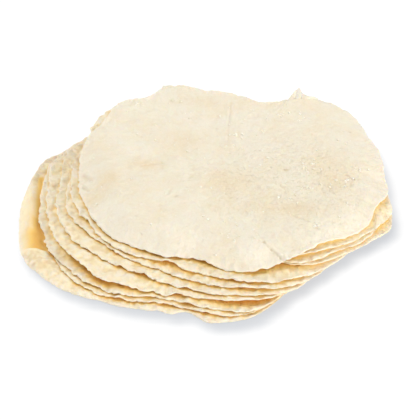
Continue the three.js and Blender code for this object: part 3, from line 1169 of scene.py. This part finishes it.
top_finish = dough_finish("dough top", cream=PALE_CREAM, cloud_share=0.24,
                          spots=(1.1 * MM, 0.20), dust=(1.6 * MM, 0.5), grain_share=0.10)
lower_finish = dough_finish("dough lower", cream=WARM_CREAM, cloud_share=0.25,
                            spots=(1.3 * MM, 0.28), dust=(4.5 * MM, 0.6), grain_share=0.5)
for name, piece in sheets.items():
    piece.data.materials.clear()
    piece.data.materials.append(top_finish if name == top else lower_finish)
print("finishes:", top_finish.name, "and", lower_finish.name)

# %% Dry flour
FLOUR_CLOUD = 5 * MM
FLOUR_WHITE = (0.93, 0.89, 0.80, 1)
FLOUR_CREAM = (0.88, 0.80, 0.63, 1)
flour, tree, shader = plain_finish("dry flour", Roughness=0.95, Specular_IOR_Level=0.2)
coords = tree.nodes.new("ShaderNodeTexCoord").outputs["Object"]
flour_tone = spread(tree, noise(tree, coords, FLOUR_CLOUD), 0.4, 0.6, 0.0, 1.0)
tree.links.new(mixed(tree, flour_tone, FLOUR_WHITE, FLOUR_CREAM), shader.inputs["Base Color"])
lump_mesh.materials.append(flour)
print("finish:", flour.name)

# %% [markdown]
# The stack was photographed on a bare white table. A large plane stands in for it,
# which glows, so that it stays white. The shadow in the photograph is a soft grey seam,
# a little to the right and in front of the stack. A lamp as high as the camera throws
# such a shadow, but a glowing table would swallow it. So the table is a fine grid that
# keeps it as a value: every point of the dough is thrown back onto it from the lamp, and
# the cells that are hit are moved a little and blurred.

# %% The shadow on the table
SHADOW_BLURS = 34
HOLE_CELLS = 2
shadow = np.zeros(cells)
for mesh, at in laid.values():
    shadow[cell_of(at["x"], at["y"] + BACK_PER_DROP * at["z"])] = 1
for widest in [np.maximum] * HOLE_CELLS + [np.minimum] * HOLE_CELLS:
    for axis in (0, 1):
        shadow = widest(shadow, widest(np.roll(shadow, 1, axis), np.roll(shadow, -1, axis)))
for _ in range(SHADOW_BLURS):
    shadow = blurred(shadow)
print("cells in the shadow:", int((shadow > 0.5).sum()))

# %% The table
SHADOW_MOVE = (3.8 * MM, -7.6 * MM)
SHADOW_MARGIN = 10 * MM
TABLE_HALF = 3.0
bm = bmesh.new()
segments = (cells // 2).tolist()
bmesh.ops.create_grid(bm, x_segments=segments[0], y_segments=segments[1], size=0.5)
half_size = 0.5 * cells * CELL - SHADOW_MARGIN
centre = low_corner + 0.5 * cells * CELL
shade = bm.verts.layers.float.new("shadow")
for vert in bm.verts:
    vert.co.xy = centre + 2 * np.array(vert.co.xy) * half_size
    vert[shade] = shadow[cell_of(vert.co.x - SHADOW_MOVE[0], vert.co.y - SHADOW_MOVE[1])]
rim_edges = [edge for edge in bm.edges if edge.is_boundary]
widened = bmesh.ops.extrude_edge_only(bm, edges=rim_edges)["geom"]
for vert in widened:
    if isinstance(vert, bmesh.types.BMVert):
        vert.co *= TABLE_HALF / vert.co.length
        vert[shade] = 0.0
floor_mesh = bpy.data.meshes.new("table")
bm.to_mesh(floor_mesh)
bm.free()
table = linked("table", floor_mesh)
print("table points", len(floor_mesh.vertices))

# %% The glow of the table
TABLE_GREY = (0.12, 0.12, 0.12, 1)
GLOW = 0.92
GLOW_OPEN = (1, 1, 1, 1)
GLOW_IN_SHADOW = (0.61, 0.63, 0.665, 1)
table_finish, tree, shader = plain_finish("table white", Base_Color=TABLE_GREY, Roughness=0.9,
                                          Specular_IOR_Level=0.1, Emission_Strength=GLOW)
glow = mixed(tree, kept(tree, "shadow"), GLOW_OPEN, GLOW_IN_SHADOW)
tree.links.new(glow, shader.inputs["Emission Color"])
floor_mesh.materials.append(table_finish)
print("finish:", table_finish.name)

# %% [markdown]
# The light is soft, as in a studio: a key from above, a little to the left and behind,
# and an even white surround. Three low fills bring out the bumps of the rims, from the
# front left, the front right and the back left. Each sun has its direction, its strength,
# its width in degrees and its colour.

# %% Light and surround
FILL_COLOUR = (1.0, 0.99, 0.97)
SUNS = {
    "key": ((-0.4, 0.2, 1.0), 1.17, 25, (1.0, 0.985, 0.96)),
    "fill left": ((-0.7, -1.0, 0.45), 0.48, 24, FILL_COLOUR),
    "fill right": ((1.0, -0.6, 0.38), 1.97, 24, FILL_COLOUR),
    "fill back": ((-0.7, 0.9, 0.35), 0.75, 24, FILL_COLOUR),
}
SURROUND_WHITE = (0.97, 0.985, 1.0, 1)
SURROUND_STRENGTH = 0.48
for name, (direction, energy, width, colour) in SUNS.items():
    sun = bpy.data.lights.new(name, "SUN")
    sun.energy = energy
    sun.angle = math.radians(width)
    sun.color = colour
    linked(name, sun).rotation_euler = Vector(direction).to_track_quat("Z", "Y").to_euler()
surround = bpy.data.worlds.new("surround")
surround.use_nodes = True
set_inputs(surround.node_tree.nodes["Background"],
           {"Color": SURROUND_WHITE, "Strength": SURROUND_STRENGTH})
bpy.context.scene.world = surround
bpy.context.scene.view_settings.view_transform = "Standard"
print("strength of the suns:", {name: sun[1] for name, sun in SUNS.items()})

# %% [markdown]
# The camera looks along +Y and forty degrees down, from three quarters of a metre,
# through a long lens. That is the angle at which the ellipse of a round tortilla has
# the proportions of the top one in the picture.

# %% Camera
DISTANCE = 0.75
LENS = 100
SENSOR = 36
TARGET = Vector((3.44, -3.12, 0)) * MM
camera = bpy.data.cameras.new("camera")
camera.lens = LENS
camera.sensor_width = SENSOR
camera_object = linked("camera", camera)
camera_object.location = TARGET + DISTANCE * Vector((0, -math.cos(ELEVATION), math.sin(ELEVATION)))
camera_object.rotation_euler = (math.pi / 2 - ELEVATION, 0, 0)
bpy.context.scene.camera = camera_object
print("camera at", [round(c, 3) for c in camera_object.location])
